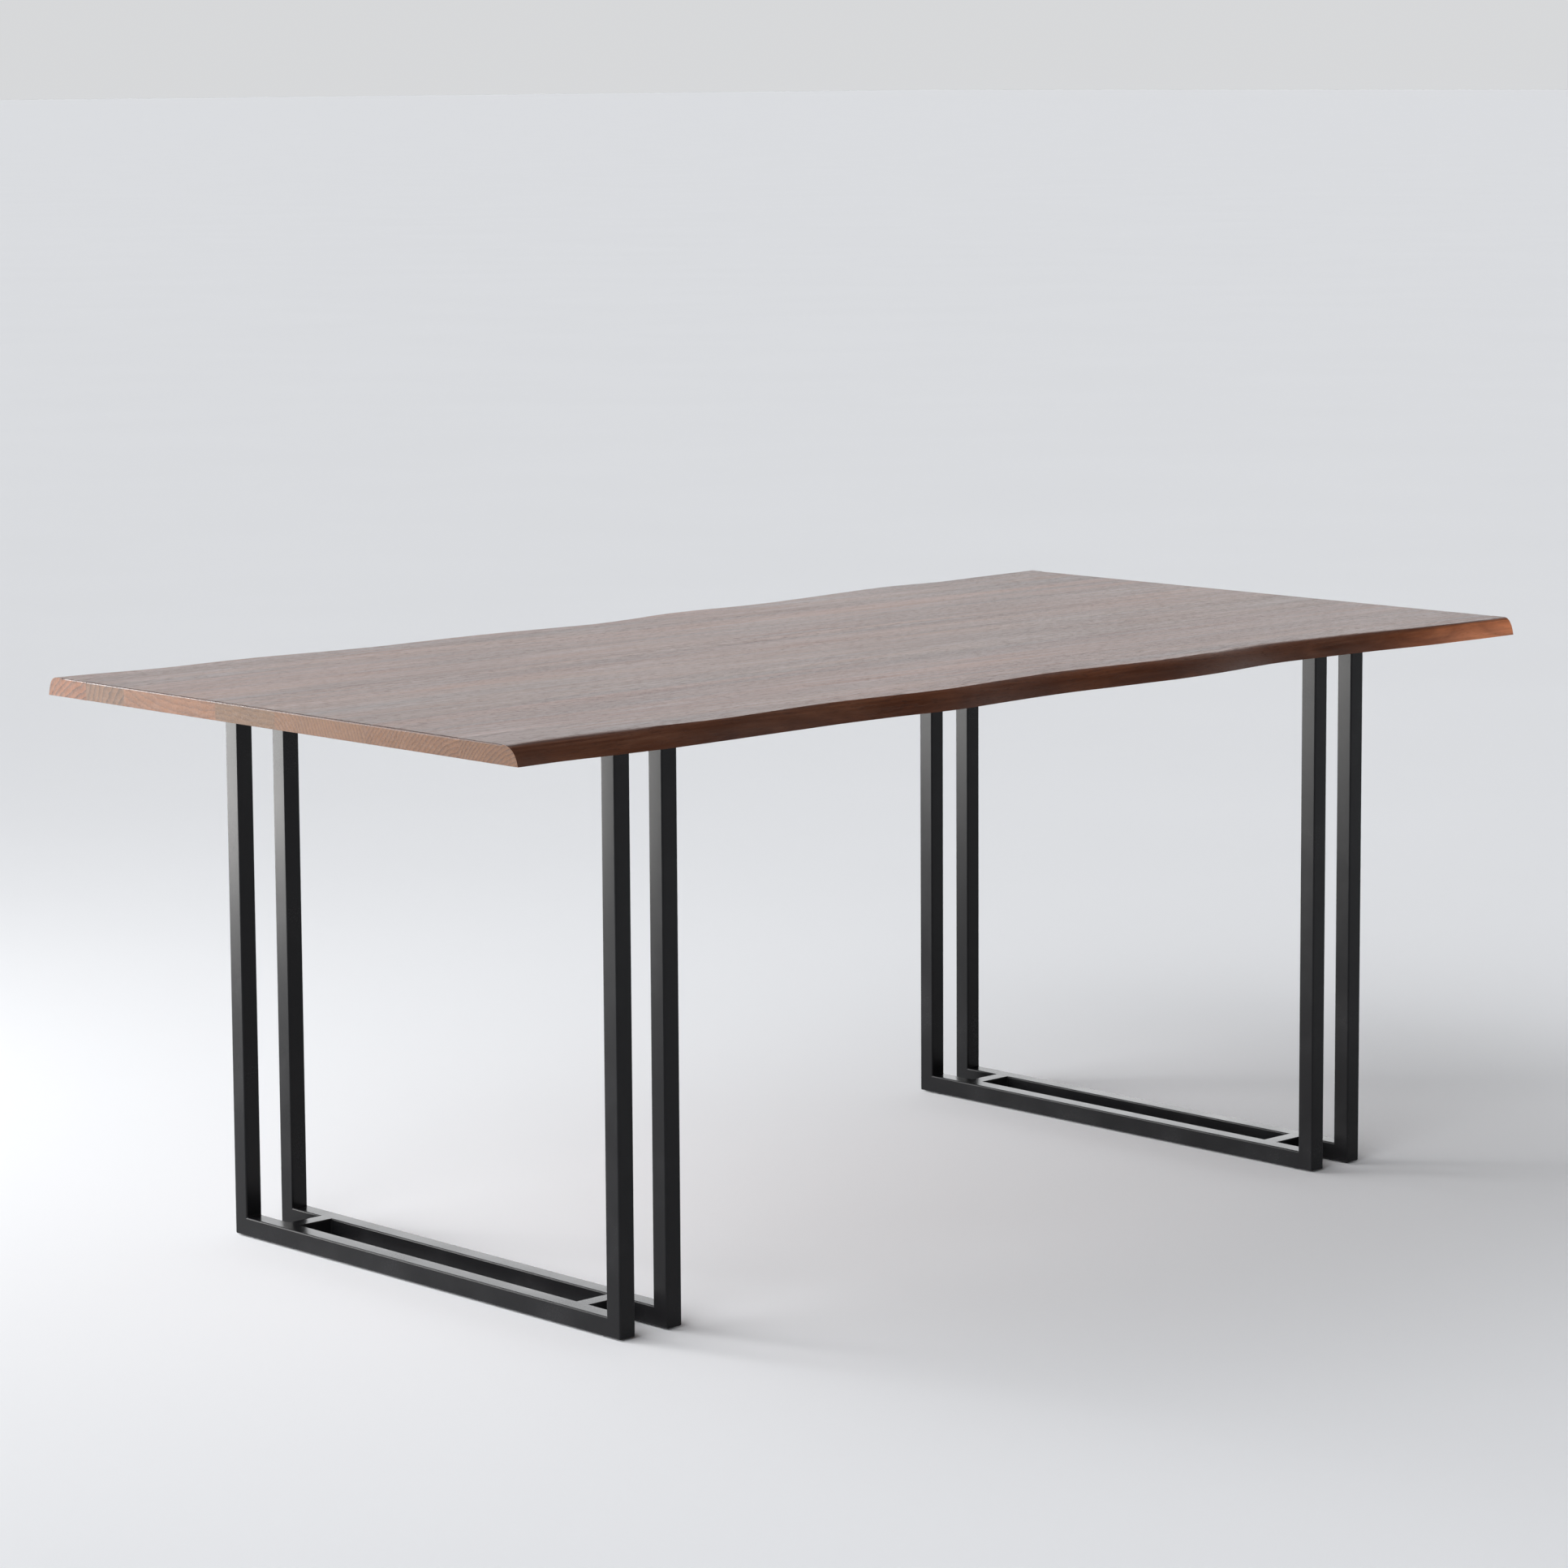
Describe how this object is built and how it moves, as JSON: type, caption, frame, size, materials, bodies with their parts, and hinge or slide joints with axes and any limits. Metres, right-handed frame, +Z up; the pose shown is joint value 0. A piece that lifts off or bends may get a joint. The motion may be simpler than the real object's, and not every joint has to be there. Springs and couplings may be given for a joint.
{
  "type": "dining table",
  "caption": "Dining table with a glued-up live-edge wood top on two leg sets of paired, U-shaped square-tube frames joined by short cross bars near the floor.",
  "frame": {"origin": "on the floor under the middle of the top, at the bottom of the glides", "axes": "+Z up, X along the table's length, -Y towards the front live edge"},
  "size_m": [1.829, 0.954, 0.762],
  "materials": {
    "stained_wood": "satin walnut-coloured stain, end grain lighter",
    "black_steel": "satin black powder coat",
    "zinc_steel": "bright zinc plate",
    "insert_brass": "plain turned brass",
    "glide_plastic": "matt black nylon"
  },
  "bodies": {
    "root": {"live_edge_stave_front": "stained_wood", "stave_1": "stained_wood", "stave_2": "stained_wood", "stave_3": "stained_wood", "stave_4": "stained_wood", "stave_5": "stained_wood", "stave_6": "stained_wood", "live_edge_stave_back": "stained_wood", "left_outer_upright_front": "black_steel", "left_outer_upright_back": "black_steel", "left_outer_floor_rail": "black_steel", "left_outer_glide_front": "glide_plastic", "left_outer_glide_back": "glide_plastic", "left_inner_upright_front": "black_steel", "left_inner_upright_back": "black_steel", "left_inner_floor_rail": "black_steel", "left_inner_glide_front": "glide_plastic", "left_inner_glide_back": "glide_plastic", "left_cross_bar_front": "black_steel", "left_cross_bar_back": "black_steel", "left_mounting_plate": "black_steel", "left_screw_1": "zinc_steel", "left_washer_1": "zinc_steel", "left_insert_1": "insert_brass", "left_screw_2": "zinc_steel", "left_washer_2": "zinc_steel", "left_insert_2": "insert_brass", "left_screw_3": "zinc_steel", "left_washer_3": "zinc_steel", "left_insert_3": "insert_brass", "left_screw_4": "zinc_steel", "left_washer_4": "zinc_steel", "left_insert_4": "insert_brass", "right_outer_upright_front": "black_steel", "right_outer_upright_back": "black_steel", "right_outer_floor_rail": "black_steel", "right_outer_glide_front": "glide_plastic", "right_outer_glide_back": "glide_plastic", "right_inner_upright_front": "black_steel", "right_inner_upright_back": "black_steel", "right_inner_floor_rail": "black_steel", "right_inner_glide_front": "glide_plastic", "right_inner_glide_back": "glide_plastic", "right_cross_bar_front": "black_steel", "right_cross_bar_back": "black_steel", "right_mounting_plate": "black_steel", "right_screw_1": "zinc_steel", "right_washer_1": "zinc_steel", "right_insert_1": "insert_brass", "right_screw_2": "zinc_steel", "right_washer_2": "zinc_steel", "right_insert_2": "insert_brass", "right_screw_3": "zinc_steel", "right_washer_3": "zinc_steel", "right_insert_3": "insert_brass", "right_screw_4": "zinc_steel", "right_washer_4": "zinc_steel", "right_insert_4": "insert_brass"}
  },
  "joints": []
}
